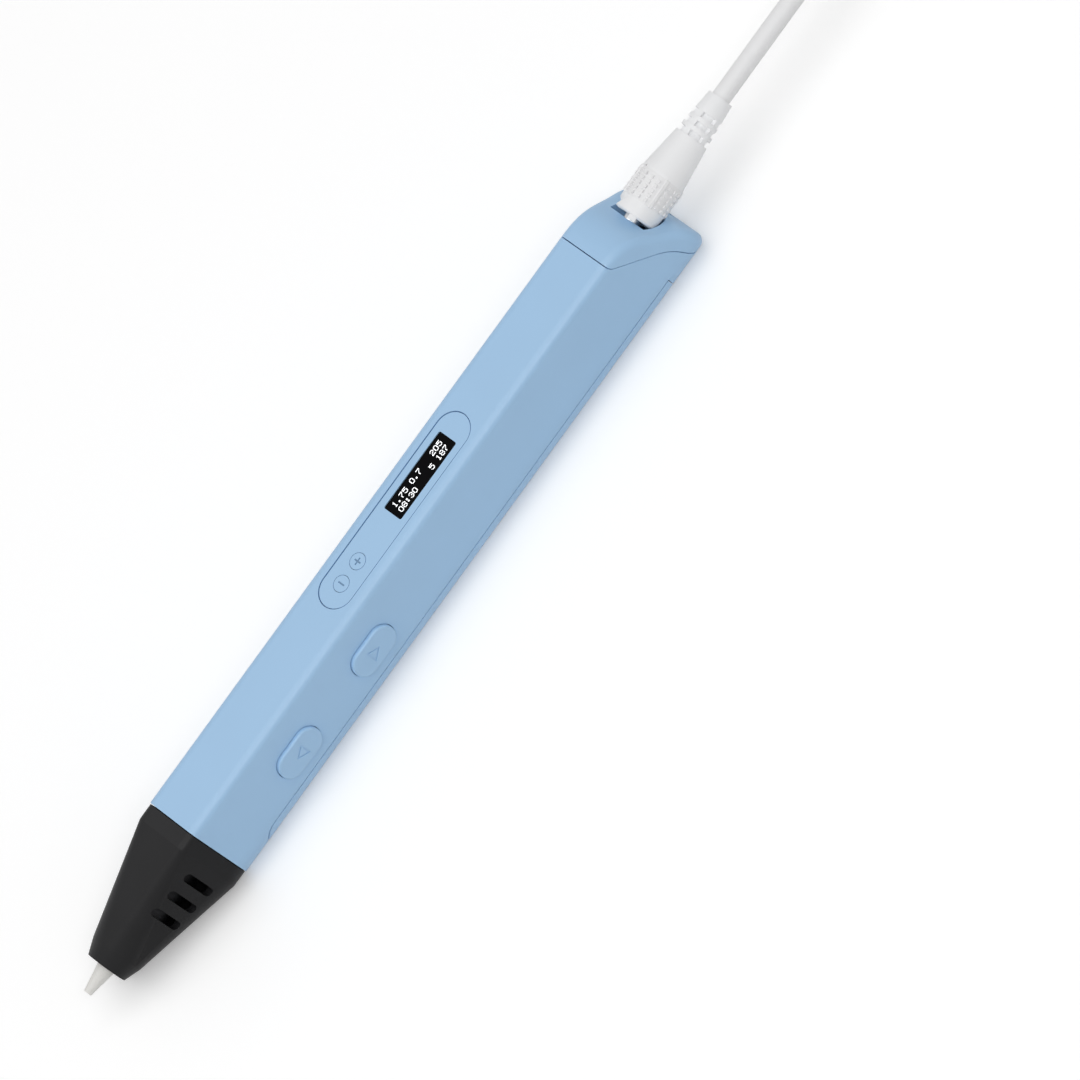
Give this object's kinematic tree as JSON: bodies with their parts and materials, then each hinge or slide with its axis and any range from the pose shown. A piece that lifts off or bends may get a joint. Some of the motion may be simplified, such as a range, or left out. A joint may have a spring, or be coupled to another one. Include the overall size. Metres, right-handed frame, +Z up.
{
  "type": "three d pen",
  "caption": "Hand-held printing pen that melts and pushes out plastic filament, with display, feed buttons, a replaceable nozzle and a plugged-in power cord.",
  "frame": {"origin": "on the flat underside, below the middle of the body between nozzle tip and rear face", "axes": "+X along the body from the nozzle to the rear face, +Z up through the display face, side buttons facing -Y"},
  "size_m": [0.356, 0.0342, 0.0196],
  "materials": {
    "body_blue": "satin",
    "nose_black": "satin",
    "black_plastic": "matte",
    "steel": "satin",
    "window_black": "gloss",
    "board_green": "satin",
    "aluminium": "satin",
    "brass": "satin",
    "ceramic_white": "satin",
    "ptfe_white": "satin",
    "frame_grey": "matte",
    "lead_red": "satin",
    "gear_white": "satin",
    "cable_white": "satin",
    "chrome": "polished",
    "tie_grey": "matte"
  },
  "bodies": {
    "casing": {"main_shell": "body_blue", "bottom_cover": "body_blue", "end_cap": "body_blue", "nose_cone": "nose_black", "inlet_bush": "black_plastic", "cover_screws": "steel", "display_panel": "body_blue", "display_window": "window_black", "oled_module": "window_black", "top_switches": "black_plastic", "side_switches": "black_plastic", "key_board": "board_green", "main_board": "board_green", "board_screws": "steel", "board_chips": "black_plastic", "capacitor": "aluminium", "power_board": "board_green", "power_jack": "black_plastic", "jack_pin": "brass", "nozzle": "ceramic_white", "hot_tube": "steel", "heater": "ceramic_white", "heat_shield": "aluminium", "hot_end_plate": "black_plastic", "thermistor": "black_plastic", "liner_tube": "ptfe_white", "drive_frame": "frame_grey", "gearbox": "steel", "motor": "steel", "screw_bushes": "brass", "arm_pivot_pin": "steel", "idler_spring": "steel", "guide_tube": "ptfe_white", "power_leads": "lead_red", "motor_leads": "lead_red", "heater_lead": "ptfe_white"},
    "minus_key": {"minus_button": "body_blue", "minus_plunger": "black_plastic"},
    "plus_key": {"plus_button": "body_blue", "plus_plunger": "black_plastic"},
    "feed_key": {"feed_button": "body_blue", "feed_plunger": "black_plastic"},
    "retract_key": {"retract_button": "body_blue", "retract_plunger": "black_plastic"},
    "pinion": {"drive_pinion": "brass"},
    "screw_unit": {"feed_screw": "steel", "driven_gear": "gear_white"},
    "idler": {"idler_arm": "frame_grey", "roller_pin": "steel"},
    "roller": {"idler_roller": "steel"},
    "power_plug": {"plug_body": "cable_white", "plug_barrel": "chrome", "plug_insulator": "black_plastic", "power_cord": "cable_white", "cord_hank": "cable_white", "cord_tail": "cable_white", "cord_tie": "tie_grey", "usb_plug_body": "cable_white", "usb_shell": "chrome", "usb_tongue": "ceramic_white"}
  },
  "joints": [
    {"name": "feed_button_press", "type": "slide", "parent": "casing", "child": "feed_key", "axis": [0, 0.9659, -0.2588], "range_m": [0, 0.0005], "stiffness_N_per_m": 400, "springref_m": -0.0005},
    {"name": "retract_button_press", "type": "slide", "parent": "casing", "child": "retract_key", "axis": [0, 0.9659, -0.2588], "range_m": [0, 0.0005], "stiffness_N_per_m": 400, "springref_m": -0.0005},
    {"name": "minus_button_press", "type": "slide", "parent": "casing", "child": "minus_key", "axis": [0, 0, -1], "range_m": [0, 0.0003], "stiffness_N_per_m": 400, "springref_m": -0.0005},
    {"name": "plus_button_press", "type": "slide", "parent": "casing", "child": "plus_key", "axis": [0, 0, -1], "range_m": [0, 0.0003], "stiffness_N_per_m": 400, "springref_m": -0.0005},
    {"name": "feed_screw_spin", "type": "hinge", "parent": "casing", "child": "screw_unit", "pos_m": [-0.0455, -0.00205, 0.01195], "axis": [1, 0, 0], "continuous": true},
    {"name": "pinion_spin", "type": "hinge", "parent": "casing", "child": "pinion", "pos_m": [-0.0407, 0.00171, 0.01381], "axis": [1, 0, 0], "continuous": true},
    {"name": "idler_arm_swing", "type": "hinge", "parent": "casing", "child": "idler", "pos_m": [-0.0399, 0.00169, 0.00548], "axis": [0, 0.866, 0.5], "range_deg": [-4, 4], "stiffness_Nm_per_rad": 0.05, "deforming": ["idler_spring"]},
    {"name": "idler_roller_spin", "type": "hinge", "parent": "idler", "child": "roller", "pos_m": [-0.0455, 0.00169, 0.00548], "axis": [0, 0.866, 0.5], "continuous": true},
    {"name": "power_plug_pull", "type": "slide", "parent": "casing", "child": "power_plug", "axis": [1, 0, 0], "range_m": [0, 0.012]}
  ],
  "couplings": [
    {"joint": "pinion_spin", "follows": "feed_screw_spin", "ratio": -1.8}
  ]
}
